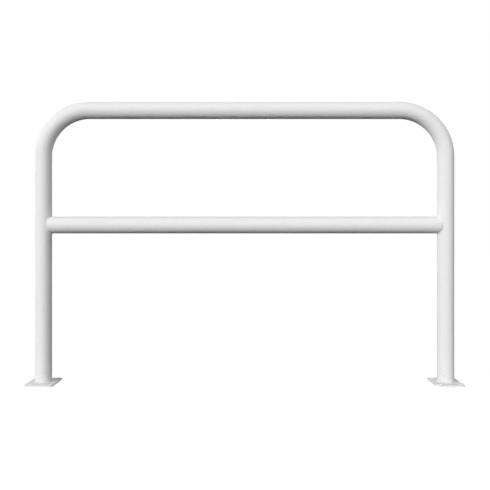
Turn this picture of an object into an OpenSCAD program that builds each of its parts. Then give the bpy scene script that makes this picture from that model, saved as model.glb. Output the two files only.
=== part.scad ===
// Hoop barrier with a crossbar: one bent tube on two base plates.
// Millimetres. X runs along the barrier, Y across it, Z up from the floor.
// The front is seen from -Y. The origin is on the floor, midway between the posts.

/* [Tube] */
// Outside diameter of the round steel tube of hoop and crossbar
tube_d = 60.3; // [54:0.1:76.1]
// Wall thickness of the tube
tube_wall = 2.5; // [2:0.1:5]

/* [Hoop] */
// Width over the outside of the two posts
hoop_w = 1500; // [800:10:2400]
// Height of the hoop from the base plates to the top of its rail
hoop_h = 1000; // [820:10:1300]
// Radius of the two corner bends, to the middle of the tube
bend_r = 165; // [120:1:200]

/* [Crossbar] */
// Height of the crossbar's axis above the base plates
crossbar_h = 560; // [150:1:720]
// Distance from a post's axis at which the thin tips of the coped ends are cut off
tip_cut = 19.5; // [15:0.5:20.5]
// Fit-up gap between a coped end and its post
cope_gap = 0.3; // [0.1:0.1:0.5]
// Diameter of the vent hole from each post into the crossbar
vent_d = 12; // [8:1:20]

/* [Base plates] */
// Width of a base plate, along the barrier
plate_w = 100; // [95:1:140]
// Depth of a base plate, across the barrier
plate_d = 150; // [140:1:250]
// Thickness of a base plate
plate_t = 6; // [5:0.5:15]
// Corner radius of a base plate
plate_corner_r = 10; // [5:1:14]
// Diameter of an anchor hole
anchor_hole_d = 14; // [10:1:16]
// Distance from an anchor hole's centre to the plate's edges
anchor_edge = 15; // [12:0.5:18]
// Diameter of the drain hole in a plate, inside the tube's bore
drain_d = 25; // [15:1:35]

/* [Welds] */
// Leg of the fillet weld round each foot
foot_weld_leg = 2.5; // [2:0.5:6]
// Leg of the weld along the saddle at each end of the crossbar
crossbar_weld_leg = 1.5; // [1:0.5:3]
// Leg of the same weld where it closes the cut-off tips
tip_weld_leg = 2.5; // [2.5:0.1:5]
// How far a weld's face stands out of a straight fillet
weld_crown = 0.2; // [0.1:0.1:0.6]
// How far the curve of the weld's round nose at the tips is drawn out over the crossbar
tip_weld_crown = 1.2; // [1.2:0.1:1.6]
// Root gap between a weld and the tubes that it joins
weld_gap = 0.2; // [0.1:0.05:0.25]

/* [Hidden] */

$fn = 96;
// Length by which a cutter runs past what it cuts
overrun = 5;
// Flat at the root of a weld, left open between the two tubes
weld_root = 0.5;
// Points across the face of a weld, between its toes
weld_face_steps = 6;
// Sections round one end of the crossbar
weld_sections = 72;

tube_r = tube_d / 2;
bore_r = tube_r - tube_wall;
post_x = hoop_w / 2 - tube_r;
rail_z = plate_t + hoop_h - tube_r;
bend_z = rail_z - bend_r;
bend_x = post_x - bend_r;
crossbar_z = plate_t + crossbar_h;
// Angle round a post at which the cut-off tips meet it
tip_angle = acos(tip_cut / tube_r);
anchor_x = plate_w / 2 - anchor_edge;
anchor_y = plate_d / 2 - anchor_edge;

// Solid bar along the hoop's centreline, open_ends longer at its two feet
module hoop_bar(r, open_ends = 0) {
    for (side = [-1, 1]) {
        translate([side * post_x, 0, plate_t - open_ends])
            cylinder(h = bend_z - plate_t + open_ends, r = r);
        translate([side * bend_x, 0, bend_z])
            rotate([90, 0, 0])
                rotate([0, 0, side > 0 ? 0 : 90])
                    rotate_extrude(angle = 90)
                        translate([bend_r, 0])
                            circle(r = r);
    }
    translate([-bend_x, 0, rail_z])
        rotate([0, 90, 0])
            cylinder(h = 2 * bend_x, r = r);
}

// The hoop: one tube, bent twice, cut square at its feet
module hoop_tube() {
    color("gainsboro")
    difference() {
        hoop_bar(tube_r);
        hoop_bar(bore_r, overrun);
        for (side = [-1, 1])
            translate([side * (post_x - bore_r / 2), 0, crossbar_z])
                rotate([0, -side * 90, 0])
                    cylinder(h = tube_r, d = vent_d);
    }
}

// The crossbar: a straight tube, coped to the posts, with its thin tips cut off
module crossbar_tube() {
    color("gainsboro")
    translate([0, 0, crossbar_z])
    difference() {
        rotate([0, 90, 0])
            cylinder(h = 2 * (post_x - tip_cut), r = tube_r, center = true);
        rotate([0, 90, 0])
            cylinder(h = 2 * post_x, r = bore_r, center = true);
        for (side = [-1, 1])
            translate([side * post_x, 0, 0])
                cylinder(h = tube_d + 2 * overrun, r = tube_r + cope_gap, center = true);
    }
}

// Outline of a plate with round corners
module plate_outline() {
    square([plate_w, plate_d - 2 * plate_corner_r], center = true);
    square([plate_w - 2 * plate_corner_r, plate_d], center = true);
    for (sx = [-1, 1], sy = [-1, 1])
        translate([sx * (plate_w / 2 - plate_corner_r), sy * (plate_d / 2 - plate_corner_r)])
            circle(r = plate_corner_r);
}

// One base plate, on the floor, with its four anchor holes and its drain hole
module base_plate(side) {
    color("whitesmoke")
    translate([side * post_x, 0, 0])
    difference() {
        linear_extrude(height = plate_t)
            plate_outline();
        for (sx = [-1, 1], sy = [-1, 1])
            translate([sx * anchor_x, sy * anchor_y, -overrun])
                cylinder(h = plate_t + 2 * overrun, d = anchor_hole_d);
        translate([0, 0, -overrun])
            cylinder(h = plate_t + 2 * overrun, d = drain_d);
    }
}

// Section of a foot's fillet weld: two legs and a slightly crowned face
function foot_weld_section() = [
    [tube_r + weld_gap, 0],
    for (i = [0 : weld_face_steps])
        let (u = i / weld_face_steps, crown = weld_crown * 4 * u * (1 - u) / sqrt(2))
        [tube_r + weld_gap + foot_weld_leg * (1 - u) + crown, foot_weld_leg * u + crown]
];

// Fillet weld round a foot, between the tube and its base plate
module foot_weld(side) {
    color("silver")
    translate([side * post_x, 0, plate_t])
        rotate_extrude()
            polygon(foot_weld_section());
}

// Angle round the post, from the crossbar's side, at which the coped end meets it
function rim_angle(a) = max(-tip_angle, min(tip_angle, asin(cos(a))));

// Point on the post's surface, t degrees round it and z above the crossbar's axis
function on_post(t, z) = let (r = tube_r + weld_gap) [-r * cos(t), r * sin(t), z];

// Point on the crossbar's surface, a degrees round it
function on_crossbar(x, a) = let (r = tube_r + weld_gap) [x, r * cos(a), r * sin(a)];

// How far the crossbar's cut-off tip stands over the post's surface
function tip_step(a) = max(0, tube_r * abs(cos(a)) - tube_r * sin(tip_angle));

function unit(v) = v / norm(v);

// Point at u, from 0 to 1, of the curve that leaves a for b and is drawn towards c
function curve_point(a, c, b, u) = a * (1 - u) * (1 - u) + c * 2 * u * (1 - u) + b * u * u;

// How far the weld has its full size for the tips: 1 in their middle, 0 along the saddle
function tip_share(a) = let (s = tip_step(a) / tip_step(0)) s * (2 - s);

// Section of the crossbar's weld, a degrees round the crossbar
function crossbar_weld_section(a) =
    let (share = tip_share(a),
         leg = crossbar_weld_leg + (tip_weld_leg - crossbar_weld_leg) * share,
         rim_x = -tube_r * cos(rim_angle(a)),
         leg_turn = leg / tube_r * 180 / PI,
         root_turn = weld_root / tube_r * 180 / PI,
         t_toe = rim_angle(a) + leg_turn * cos(a),
         back = weld_root * share + leg * (1 - share),
         toe_a = on_crossbar(rim_x - weld_gap - back, a),
         toe_b = on_post(t_toe, (tube_r + weld_gap + leg) * sin(a)),
         root_b = on_post(rim_angle(a) + root_turn * cos(a), (tube_r + weld_gap + weld_root) * sin(a)),
         root_x = rim_x - weld_root + min(tip_step(a), weld_root + weld_gap),
         root_a = on_crossbar(root_x, a),
         lean = unit([-cos(t_toe), sin(t_toe) + cos(a), sin(a)]),
         fillet = (toe_a + toe_b) / 2 + lean * 2 * weld_crown,
         over = tube_r + weld_gap + tip_weld_crown,
         nose = [toe_b[0], over * cos(a), over * sin(a)],
         drawn = fillet * (1 - share) + nose * share)
    [
        root_a,
        for (i = [0 : weld_face_steps])
            curve_point(toe_a, drawn, toe_b, i / weld_face_steps),
        root_b
    ];

// Closed band through the sections, joined end to end
module section_ring(sections) {
    n = len(sections);
    m = len(sections[0]);
    points = [for (s = sections) each s];
    faces = [
        for (i = [0 : n - 1], j = [0 : m - 1])
            let (a = i * m, b = (i + 1) % n * m, k = (j + 1) % m)
            each [[a + j, a + k, b + k], [a + j, b + k, b + j]]
    ];
    polyhedron(points = points, faces = faces, convexity = 4);
}

// Weld round one end of the crossbar, which follows the saddle and closes the cut-off tips
module crossbar_weld(side) {
    color("silver")
    translate([side * post_x, 0, crossbar_z])
        mirror([side > 0 ? 0 : 1, 0, 0])
            section_ring([for (i = [0 : weld_sections - 1])
                crossbar_weld_section(360 * i / weld_sections)]);
}

hoop_tube();
crossbar_tube();
base_plate(-1);  // left_base_plate
base_plate(1);  // right_base_plate
foot_weld(-1);  // left_foot_weld
foot_weld(1);  // right_foot_weld
crossbar_weld(-1);  // left_crossbar_weld
crossbar_weld(1);  // right_crossbar_weld
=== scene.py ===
import math
import bmesh
import bpy
from mathutils import Matrix, Vector


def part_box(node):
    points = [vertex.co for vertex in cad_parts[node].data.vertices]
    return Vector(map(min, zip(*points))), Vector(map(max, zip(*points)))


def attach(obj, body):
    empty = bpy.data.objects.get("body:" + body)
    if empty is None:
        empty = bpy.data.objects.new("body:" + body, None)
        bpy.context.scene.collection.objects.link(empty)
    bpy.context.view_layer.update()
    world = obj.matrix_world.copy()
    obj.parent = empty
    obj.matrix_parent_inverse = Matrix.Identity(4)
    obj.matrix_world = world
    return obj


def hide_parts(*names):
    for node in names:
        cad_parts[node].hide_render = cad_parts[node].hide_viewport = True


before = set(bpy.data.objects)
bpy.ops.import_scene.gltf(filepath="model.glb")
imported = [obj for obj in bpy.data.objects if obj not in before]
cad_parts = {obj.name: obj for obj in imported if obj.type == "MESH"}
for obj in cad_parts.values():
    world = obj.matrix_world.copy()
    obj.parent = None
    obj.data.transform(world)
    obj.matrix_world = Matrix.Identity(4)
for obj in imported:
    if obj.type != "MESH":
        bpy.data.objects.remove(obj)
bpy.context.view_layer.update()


# Camera
# It looks level at the front of the barrier from 2.6 m away, a little under half of the hoop's height.
camera_x = 0.0016
camera_y = -2.603
camera_z = 0.4945
camera_lens = 53.4

camera_data = bpy.data.cameras.new("camera")
camera_data.lens = camera_lens
camera = bpy.data.objects.new("camera", camera_data)
camera.location = (camera_x, camera_y, camera_z)
camera.rotation_euler = (math.pi / 2, 0, 0)
bpy.context.collection.objects.link(camera)
bpy.context.scene.camera = camera


# Base plates
# Two plates cut from 6 mm steel, with round corners, four holes for ground anchors and a drain hole.
# Their edges are broken, and the welded barrier is galvanised and powder coated in a satin white.
plate_corner_r = 0.010
anchor_hole_r = 0.007
anchor_edge = 0.015
drain_r = 0.0125
plate_edge_round = 0.0006
plate_edge_steps = 2
corner_steps = 12
hole_steps = 64


def number(tree, operation, first, second):
    """A math node on two sockets or numbers."""
    node = tree.nodes.new("ShaderNodeMath")
    node.operation = operation
    for socket, value in zip(node.inputs, (first, second)):
        if isinstance(value, (int, float)):
            socket.default_value = value
        else:
            tree.links.new(value, socket)
    return node.outputs["Value"]


def ranged(tree, value, low, high, start, end):
    """Turns the range from low to high into one from start to end, and stays within it."""
    node = tree.nodes.new("ShaderNodeMapRange")
    for socket, limit in (("From Min", low), ("From Max", high), ("To Min", start), ("To Max", end)):
        node.inputs[socket].default_value = limit
    tree.links.new(value, node.inputs["Value"])
    return node.outputs["Result"]


def noise(tree, place, scale, detail):
    """Soft noise, from 0 to 1."""
    node = tree.nodes.new("ShaderNodeTexNoise")
    node.inputs["Scale"].default_value = scale
    node.inputs["Detail"].default_value = detail
    tree.links.new(place, node.inputs["Vector"])
    return node.outputs["Fac"]


def coating(name, shade, roughness, shine, peel_height, painted_foot_shade):
    """Satin white powder coat: faint clouds, sparse lighter specks, orange peel, and painted shade that
    darkens it towards the foot.
    """
    coat_ior = 1.5
    cloud_scale = 200
    cloud_detail = 4
    cloud_low = 0.3
    cloud_high = 0.7
    cloud_depth = 0.028
    gloss_depth = 0.02
    speck_scale = 22
    speck_size = 0.035
    speck_edge = 0.025
    speck_gain = 0.12
    # Height over which the painted shade at the foot fades out
    painted_shade_height = 0.06
    peel_scale = 420
    peel_detail = 2
    material = bpy.data.materials.new(name)
    material.use_nodes = True
    tree = material.node_tree
    shader = tree.nodes["Principled BSDF"]
    shader.inputs["IOR"].default_value = coat_ior
    shader.inputs["Specular IOR Level"].default_value = shine
    place = tree.nodes.new("ShaderNodeTexCoord").outputs["Object"]

    clouds = noise(tree, place, cloud_scale, cloud_detail)
    cloudy = ranged(tree, clouds, cloud_low, cloud_high, shade - cloud_depth, shade + cloud_depth)
    cells = tree.nodes.new("ShaderNodeTexVoronoi")
    cells.inputs["Scale"].default_value = speck_scale
    tree.links.new(place, cells.inputs["Vector"])
    specks = ranged(tree, cells.outputs["Distance"], speck_size, speck_size + speck_edge, speck_gain, 0)
    # Painted shade: the coat is darkened towards the ground, most at the foot and not at all above the fade
    # height, to hold back the light that the plates throw up onto the feet
    height = tree.nodes.new("ShaderNodeSeparateXYZ")
    tree.links.new(place, height.inputs["Vector"])
    foot_shade_factor = ranged(tree, height.outputs["Z"], 0, painted_shade_height, 1 - painted_foot_shade, 1)
    brightness = number(tree, "MULTIPLY", number(tree, "ADD", cloudy, specks), foot_shade_factor)
    colour = tree.nodes.new("ShaderNodeCombineColor")
    for channel in ("Red", "Green", "Blue"):
        tree.links.new(brightness, colour.inputs[channel])
    tree.links.new(colour.outputs["Color"], shader.inputs["Base Color"])

    gloss = ranged(tree, clouds, cloud_low, cloud_high, roughness - gloss_depth, roughness + gloss_depth)
    tree.links.new(gloss, shader.inputs["Roughness"])

    peel = tree.nodes.new("ShaderNodeBump")
    peel.inputs["Distance"].default_value = peel_height
    tree.links.new(noise(tree, place, peel_scale, peel_detail), peel.inputs["Height"])
    tree.links.new(peel.outputs["Normal"], shader.inputs["Normal"])
    return material


def arc(x, y, radius, start, end, steps):
    """Points on an arc, with its angles in degrees."""
    turn = [math.radians(start + (end - start) * i / steps) for i in range(steps + 1)]
    return [(x + radius * math.cos(t), y + radius * math.sin(t)) for t in turn]


def outline(curve, points):
    """Adds a closed outline to a flat curve; one that runs clockwise is a hole."""
    spline = curve.splines.new("POLY")
    spline.points.add(len(points) - 1)
    for point, (x, y) in zip(spline.points, points):
        point.co = (x, y, 0, 1)
    spline.use_cyclic_u = True


def plain_mesh(source):
    """The evaluated shape of an object as a mesh of its own, with its doubles merged and facing outwards."""
    merge_distance = 1e-6
    graph = bpy.context.evaluated_depsgraph_get()
    mesh = bpy.data.meshes.new_from_object(source.evaluated_get(graph))
    shape = bmesh.new()
    shape.from_mesh(mesh)
    bmesh.ops.remove_doubles(shape, verts=shape.verts, dist=merge_distance)
    bmesh.ops.recalc_face_normals(shape, faces=shape.faces)
    shape.to_mesh(mesh)
    shape.free()
    return mesh


def finished(name, mesh, material, node):
    """A piece at the origin, attached to the root body, that takes the place of the node, which it hides."""
    mesh.name = name
    mesh.materials.clear()
    mesh.materials.append(material)
    mesh.polygons.foreach_set("use_smooth", [True] * len(mesh.polygons))
    piece = bpy.data.objects.new(name, mesh)
    bpy.context.collection.objects.link(piece)
    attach(piece, "root")
    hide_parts(node)
    return piece


# Painted light: the plates' coat is a lighter copy of the same white coat, so that the plates look more
# brightly lit
plate_coat_painted_lighter = coating("plate_coat_painted_lighter", shade=0.88, roughness=0.6, shine=0.15, peel_height=0.00003, painted_foot_shade=0)

for node in ("left_base_plate", "right_base_plate"):
    low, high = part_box(node)
    middle = (low + high) / 2
    half = (high - low) / 2
    curve = bpy.data.curves.new("plate_outline", "CURVE")
    curve.dimensions = "2D"
    curve.fill_mode = "BOTH"
    curve.extrude = half.z - plate_edge_round
    curve.bevel_depth = plate_edge_round
    curve.bevel_resolution = plate_edge_steps
    curve.offset = -plate_edge_round
    corners = [(1, 1, 0), (-1, 1, 90), (-1, -1, 180), (1, -1, 270)]
    rim = []
    for sx, sy, start in corners:
        x = sx * (half.x - plate_corner_r)
        y = sy * (half.y - plate_corner_r)
        rim += arc(x, y, plate_corner_r, start, start + 90, corner_steps)
    outline(curve, rim)
    for sx, sy, start in corners:
        x = sx * (half.x - anchor_edge)
        y = sy * (half.y - anchor_edge)
        outline(curve, arc(x, y, anchor_hole_r, 360, 0, hole_steps)[:-1])
    outline(curve, arc(0, 0, drain_r, 360, 0, hole_steps)[:-1])
    drawn = bpy.data.objects.new("plate_outline", curve)
    bpy.context.collection.objects.link(drawn)
    mesh = plain_mesh(drawn)
    mesh.transform(Matrix.Translation(middle))
    bpy.data.objects.remove(drawn)
    plate = finished(node + "_coated", mesh, plate_coat_painted_lighter, node)
    plate.modifiers.new("flat_faces", "WEIGHTED_NORMAL").keep_sharp = True


# Hoop
# One length of 60.3 mm steel tube with a 2.5 mm wall, bent twice on a mandrel so that its section stays
# round, and cut square at both feet. The two posts, the two bends and the top rail are this one piece.
bend_r = 0.165
tube_wall = 0.0025
tube_sides = 128
bend_steps = 40
sharp_edge = math.radians(40)

# Painted shade darkens the tube's coat by up to 16 % at the feet
tube_coat = coating("tube_coat", shade=0.83, roughness=0.6, shine=0.15, peel_height=0.00003, painted_foot_shade=0.16)


def node_tree(name, sizes):
    """An empty geometry node tree with a named input for each size, and its input and output nodes."""
    tree = bpy.data.node_groups.new(name, "GeometryNodeTree")
    tree.interface.new_socket("Geometry", in_out="INPUT", socket_type="NodeSocketGeometry")
    for size_name, socket_type in sizes:
        tree.interface.new_socket(size_name, in_out="INPUT", socket_type=socket_type)
    tree.interface.new_socket("Geometry", in_out="OUTPUT", socket_type="NodeSocketGeometry")
    return tree, tree.nodes.new("NodeGroupInput"), tree.nodes.new("NodeGroupOutput")


def end_tree(tree, given, made, shape):
    """Ends a tree in Realize Instances and Set Material."""
    real = tree.nodes.new("GeometryNodeRealizeInstances")
    coat = tree.nodes.new("GeometryNodeSetMaterial")
    tree.links.new(shape, real.inputs["Geometry"])
    tree.links.new(real.outputs["Geometry"], coat.inputs["Geometry"])
    tree.links.new(given.outputs["Material"], coat.inputs["Material"])
    tree.links.new(coat.outputs["Geometry"], made.inputs["Geometry"])


def run_tree(source, tree, values):
    """The plain mesh that a tree makes of an object with these values."""
    modifier = source.modifiers.new(tree.name, "NODES")
    modifier.node_group = tree
    for item in tree.interface.items_tree:
        if item.in_out == "INPUT" and item.name in values:
            modifier[item.identifier] = values[item.name]
    mesh = plain_mesh(source)
    source.modifiers.remove(modifier)
    return mesh


bent_tube, given, made = node_tree("bent_tube", [
    ("Bend radius", "NodeSocketFloat"),
    ("Bend steps", "NodeSocketInt"),
    ("Tube radius", "NodeSocketFloat"),
    ("Sides", "NodeSocketInt"),
    ("Material", "NodeSocketMaterial"),
])
bends = bent_tube.nodes.new("GeometryNodeFilletCurve")
bends.mode = "POLY"
section = bent_tube.nodes.new("GeometryNodeCurvePrimitiveCircle")
sweep = bent_tube.nodes.new("GeometryNodeCurveToMesh")
bent_tube.links.new(given.outputs["Geometry"], bends.inputs["Curve"])
bent_tube.links.new(given.outputs["Bend radius"], bends.inputs["Radius"])
bent_tube.links.new(given.outputs["Bend steps"], bends.inputs["Count"])
bent_tube.links.new(given.outputs["Tube radius"], section.inputs["Radius"])
bent_tube.links.new(given.outputs["Sides"], section.inputs["Resolution"])
bent_tube.links.new(bends.outputs["Curve"], sweep.inputs["Curve"])
bent_tube.links.new(section.outputs["Curve"], sweep.inputs["Profile Curve"])
end_tree(bent_tube, given, made, sweep.outputs["Mesh"])

hoop_low, hoop_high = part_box("hoop_tube")
tube_r = (hoop_high.y - hoop_low.y) / 2
post_x = hoop_high.x - tube_r
rail_z = hoop_high.z - tube_r
foot_z = hoop_low.z

centreline = bpy.data.curves.new("hoop_centreline", "CURVE")
centreline.dimensions = "3D"
spline = centreline.splines.new("POLY")
line_ends = [(-post_x, foot_z), (-post_x, rail_z), (post_x, rail_z), (post_x, foot_z)]
spline.points.add(len(line_ends) - 1)
for point, (x, z) in zip(spline.points, line_ends):
    point.co = (x, 0, z, 1)
hoop_line = bpy.data.objects.new("hoop_centreline", centreline)
bpy.context.collection.objects.link(hoop_line)
mesh = run_tree(hoop_line, bent_tube, {
    "Bend radius": bend_r,
    "Bend steps": bend_steps,
    "Tube radius": tube_r,
    "Sides": tube_sides,
    "Material": tube_coat,
})
bpy.data.objects.remove(hoop_line)
outside = bpy.data.objects.new("hoop_outside", mesh)
bpy.context.collection.objects.link(outside)
wall = outside.modifiers.new("wall", "SOLIDIFY")
wall.thickness = tube_wall
wall.offset = -1
mesh = plain_mesh(outside)
bpy.data.objects.remove(outside)
mesh.set_sharp_from_angle(angle=sharp_edge)
finished("hoop_tube_coated", mesh, tube_coat, "hoop_tube")


# Crossbar
# A straight length of the same tube, saddle cut at both ends to sit against the posts. The thin tips
# that the saddle cut leaves are cut off square.
tip_cut = 0.0195
cope_gap = 0.0003
crossbar_rings = 24

bar_low, bar_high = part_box("crossbar_tube")
crossbar_z = (bar_low.z + bar_high.z) / 2


def coped_end(radius, angle):
    """How far the tube's wall at this radius and angle ends from the post's axis."""
    return max(tip_cut, math.sqrt((tube_r + cope_gap) ** 2 - (radius * math.cos(angle)) ** 2))


def crossbar_mesh():
    """Rings along the outside, back along the bore, and the two cut ends between them."""
    shape = bmesh.new()
    shares = [2 * i / crossbar_rings - 1 for i in range(crossbar_rings + 1)]
    layout = [(tube_r, share) for share in shares]
    layout += [(tube_r - tube_wall, share) for share in reversed(shares)]
    rings = []
    for radius, share in layout:
        ring = []
        for i in range(tube_sides):
            angle = 2 * math.pi * i / tube_sides
            x = share * (post_x - coped_end(radius, angle))
            ring.append(shape.verts.new((x, radius * math.cos(angle), crossbar_z + radius * math.sin(angle))))
        rings.append(ring)
    for first, second in zip(rings, rings[1:] + rings[:1]):
        for i in range(tube_sides):
            k = (i + 1) % tube_sides
            shape.faces.new((first[i], first[k], second[k], second[i]))
    bmesh.ops.recalc_face_normals(shape, faces=shape.faces)
    mesh = bpy.data.meshes.new("crossbar")
    shape.to_mesh(mesh)
    shape.free()
    mesh.set_sharp_from_angle(angle=sharp_edge)
    return mesh


finished("crossbar_tube_coated", crossbar_mesh(), tube_coat, "crossbar_tube")


# Welds
# Fillet welds round both feet and both ends of the crossbar, where they follow the saddle and close its
# cut-off tips, built up and ground round. The coating fills most of the ripples that the welding leaves.
foot_weld_leg = 0.0025
crossbar_weld_leg = 0.0015
tip_weld_leg = 0.0025
weld_crown = 0.0002
tip_weld_crown = 0.0012
weld_sink = 0.0003
weld_root = 0.0005
face_steps = 10
foot_sections = 360
saddle_sections = 432
ripple_pitch = 0.0022
ripple_height = 0.00008
ripple_lean = 0.4
# Length of the crossbar's weld, as a share of one turn round the tube
saddle_length = 1.2

# Painted shade darkens the welds' coat by up to 16 % near the ground, so only the foot welds
weld_coat = coating("weld_coat", shade=0.83, roughness=0.6, shine=0.15, peel_height=0.00004, painted_foot_shade=0.16)


def weld_band(name, sections):
    """A closed band through closed sections, with how far round and how far across its face each point is."""
    shape = bmesh.new()
    around = shape.verts.layers.float.new("around")
    across = shape.verts.layers.float.new("across")
    count = len(sections[0])
    rings = []
    for i, points in enumerate(sections):
        ring = []
        for j, point in enumerate(points):
            vertex = shape.verts.new(point)
            vertex[around] = i / len(sections)
            vertex[across] = max(0, min(1, (j - 1) / face_steps)) if j < count - 1 else 0
            ring.append(vertex)
        rings.append(ring)
    for first, second in zip(rings, rings[1:] + rings[:1]):
        for j in range(count):
            k = (j + 1) % count
            shape.faces.new((first[j], first[k], second[k], second[j]))
    bmesh.ops.recalc_face_normals(shape, faces=shape.faces)
    mesh = bpy.data.meshes.new(name)
    shape.to_mesh(mesh)
    shape.free()
    return mesh


weld_ripples, given, made = node_tree("weld_ripples", [
    ("Ripples", "NodeSocketFloat"),
    ("Height", "NodeSocketFloat"),
    ("Lean", "NodeSocketFloat"),
    ("Material", "NodeSocketMaterial"),
])


def stored(tree, name):
    """A number that the mesh holds at each point, by its name."""
    node = tree.nodes.new("GeometryNodeInputNamedAttribute")
    node.data_type = "FLOAT"
    node.inputs["Name"].default_value = name
    return node.outputs["Attribute"]


half_turn = number(weld_ripples, "MULTIPLY", stored(weld_ripples, "across"), math.pi)
face_arch = number(weld_ripples, "SINE", half_turn, 0)
lean = number(weld_ripples, "MULTIPLY", face_arch, given.outputs["Lean"])
turns = number(weld_ripples, "MULTIPLY", stored(weld_ripples, "around"), given.outputs["Ripples"])
phase = number(weld_ripples, "MULTIPLY", number(weld_ripples, "ADD", turns, lean), 2 * math.pi)
wave = number(weld_ripples, "MULTIPLY", number(weld_ripples, "SINE", phase, 0), given.outputs["Height"])
lift = number(weld_ripples, "MULTIPLY", wave, face_arch)
facing = weld_ripples.nodes.new("GeometryNodeInputNormal")
push = weld_ripples.nodes.new("ShaderNodeVectorMath")
push.operation = "SCALE"
weld_ripples.links.new(facing.outputs["Normal"], push.inputs["Vector"])
weld_ripples.links.new(lift, push.inputs["Scale"])
moved = weld_ripples.nodes.new("GeometryNodeSetPosition")
weld_ripples.links.new(given.outputs["Geometry"], moved.inputs["Geometry"])
weld_ripples.links.new(push.outputs["Vector"], moved.inputs["Offset"])
end_tree(weld_ripples, given, made, moved.outputs["Geometry"])


def rippled(band, length, piece_name, node):
    """The weld with its ripples, as a piece that takes the place of a node, which it hides."""
    base = bpy.data.objects.new("weld_band", band)
    bpy.context.collection.objects.link(base)
    mesh = run_tree(base, weld_ripples, {
        "Ripples": float(round(length / ripple_pitch)),
        "Height": ripple_height,
        "Lean": ripple_lean,
        "Material": weld_coat,
    })
    bpy.data.objects.remove(base)
    return finished(piece_name, mesh, weld_coat, node)


def foot_section(turn, x):
    """Section of a foot's weld: root, face from the plate up to the tube, back to the root."""
    inner = tube_r - weld_sink
    points = [(inner, 0)]
    for i in range(face_steps + 1):
        u = i / face_steps
        crown = weld_crown * 4 * u * (1 - u) / math.sqrt(2)
        points.append((tube_r + foot_weld_leg * (1 - u) + crown, foot_weld_leg * u + crown))
    points.append((inner, foot_weld_leg))
    return [Vector((x + r * math.cos(turn), r * math.sin(turn), foot_z + z)) for r, z in points]


for side, node in ((-1, "left_foot_weld"), (1, "right_foot_weld")):
    turns = [2 * math.pi * i / foot_sections for i in range(foot_sections)]
    band = weld_band(node, [foot_section(turn, side * post_x) for turn in turns])
    rippled(band, 2 * math.pi * tube_r, node + "_coated", node)


tip_angle = math.acos(tip_cut / tube_r)


def rim_turn(a):
    """Angle round the post at which the coped end meets it, for an angle round the crossbar."""
    return max(-tip_angle, min(tip_angle, math.asin(math.cos(a))))


def tip_step(a):
    """How far the crossbar's cut-off tip stands over the post's surface."""
    return max(0, tube_r * abs(math.cos(a)) - tube_r * math.sin(tip_angle))


def on_post(turn, z):
    """Point on the post's surface, measured from the axes of the post and the crossbar."""
    return Vector((-tube_r * math.cos(turn), tube_r * math.sin(turn), z))


def on_crossbar(x, a, radius):
    """Point at this radius round the crossbar."""
    return Vector((x, radius * math.cos(a), radius * math.sin(a)))


def crossbar_section(a):
    """Section of the crossbar's weld, from the crossbar's surface to the post's, as in the solid."""
    step = tip_step(a) / tip_step(0)
    share = step * (2 - step)
    leg = crossbar_weld_leg + (tip_weld_leg - crossbar_weld_leg) * share
    rim_x = -tube_r * math.cos(rim_turn(a))
    toe_turn = rim_turn(a) + leg / tube_r * math.cos(a)
    back = weld_root * share + leg * (1 - share)
    toe_a = on_crossbar(rim_x - back, a, tube_r)
    toe_b = on_post(toe_turn, (tube_r + leg) * math.sin(a))
    outward = Vector((-math.cos(toe_turn), math.sin(toe_turn) + math.cos(a), math.sin(a))).normalized()
    fillet = (toe_a + toe_b) / 2 + outward * 2 * weld_crown
    nose = on_crossbar(toe_b.x, a, tube_r + tip_weld_crown)
    drawn = fillet.lerp(nose, share)
    sunk = 1 - weld_sink / tube_r
    root_b = Vector((toe_b.x * sunk, toe_b.y * sunk, toe_b.z))
    root_a = on_crossbar(rim_x - back, a, tube_r - weld_sink)
    face = []
    for i in range(face_steps + 1):
        u = i / face_steps
        face.append(toe_a * (1 - u) ** 2 + drawn * 2 * u * (1 - u) + toe_b * u ** 2)
    return [root_a, *face, root_b]


for side, node in ((-1, "left_crossbar_weld"), (1, "right_crossbar_weld")):
    sections = []
    for i in range(saddle_sections):
        points = crossbar_section(2 * math.pi * i / saddle_sections)
        sections.append([Vector((side * (post_x + p.x), p.y, crossbar_z + p.z)) for p in points])
    rippled(weld_band(node, sections), 2 * math.pi * tube_r * saddle_length, node + "_coated", node)


# Floor and light
# A white floor that fades into a white surround, lit softly from the upper left of the front.
# The floor keeps the barrier's faint shadow, and throws little light back up.
floor_size = 40
# A hair above the undersides of the plates, so that the lamp below lights them and nothing else
floor_lift = 0.0002
floor_glow = 0.95
floor_shade = 0.15
floor_bounce = 0.05
sky_share = 0.09
lamp_spread = 12
lamps = [
    ("left_key", -45, 28, 0.485),
    ("left_front", -22.5, 16, 0.455),
    ("right_front", 45, 7, 0.215),
    ("left_back", -112.5, 7, 0.22),
    ("right_back", 112.5, 35, 0.095),
    ("back", 180, 7, 0.265),
    ("below", -45, -60, 0.3),
]


def shows(tree):
    """1 for rays from the camera, off gloss or through glass, 0 for those that light the barrier."""
    path = tree.nodes.new("ShaderNodeLightPath")
    seen = number(tree, "MAXIMUM", path.outputs["Is Camera Ray"], path.outputs["Is Glossy Ray"])
    return number(tree, "MAXIMUM", seen, path.outputs["Is Transmission Ray"])


def plain_shader(tree, kind, grey):
    """A shader of one grey."""
    shader = tree.nodes.new(kind)
    shader.inputs["Color"].default_value = (grey, grey, grey, 1)
    return shader.outputs[0]


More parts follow.
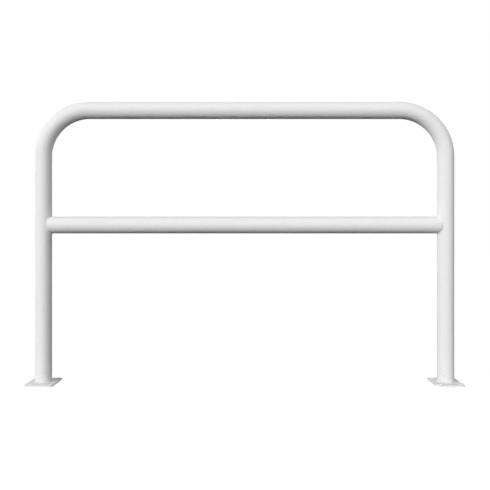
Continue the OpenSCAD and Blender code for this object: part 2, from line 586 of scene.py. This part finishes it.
def mixed(tree, share, first, second):
    """The first shader where share is 0, and the second where it is 1."""
    mix = tree.nodes.new("ShaderNodeMixShader")
    for socket, source in zip(mix.inputs, (share, first, second)):
        tree.links.new(source, socket)
    return mix.outputs["Shader"]


bpy.ops.mesh.primitive_plane_add(size=floor_size, location=(0, 0, floor_lift))
floor = bpy.context.object
floor.name = "floor"
floor_white = bpy.data.materials.new("floor_white")
floor_white.use_nodes = True
tree = floor_white.node_tree
tree.nodes.clear()
white = tree.nodes.new("ShaderNodeAddShader")
tree.links.new(plain_shader(tree, "ShaderNodeEmission", floor_glow), white.inputs[0])
tree.links.new(plain_shader(tree, "ShaderNodeBsdfDiffuse", floor_shade), white.inputs[1])
dull = plain_shader(tree, "ShaderNodeBsdfDiffuse", floor_bounce)
top_side = mixed(tree, shows(tree), dull, white.outputs["Shader"])
# From below the floor is clear, so that the undersides of the plates can be seen
backfacing = tree.nodes.new("ShaderNodeNewGeometry").outputs["Backfacing"]
clear = plain_shader(tree, "ShaderNodeBsdfTransparent", 1)
output = tree.nodes.new("ShaderNodeOutputMaterial")
tree.links.new(mixed(tree, backfacing, top_side, clear), output.inputs["Surface"])
floor.data.materials.append(floor_white)

bpy.context.scene.view_settings.view_transform = "Standard"

surround = bpy.data.worlds.new("surround")
bpy.context.scene.world = surround
surround.use_nodes = True
tree = surround.node_tree
background = tree.nodes["Background"]
background.inputs["Color"].default_value = (1, 1, 1, 1)
tree.links.new(number(tree, "MAXIMUM", shows(tree), sky_share), background.inputs["Strength"])

for name, azimuth, elevation, share in lamps:
    light = bpy.data.lights.new(name, "SUN")
    light.energy = share * math.pi
    light.angle = math.radians(lamp_spread)
    lamp = bpy.data.objects.new(name, light)
    turn = math.radians(azimuth)
    rise = math.radians(elevation)
    towards = Vector((math.sin(turn) * math.cos(rise), -math.cos(turn) * math.cos(rise), math.sin(rise)))
    lamp.rotation_euler = towards.to_track_quat("Z", "Y").to_euler()
    bpy.context.collection.objects.link(lamp)
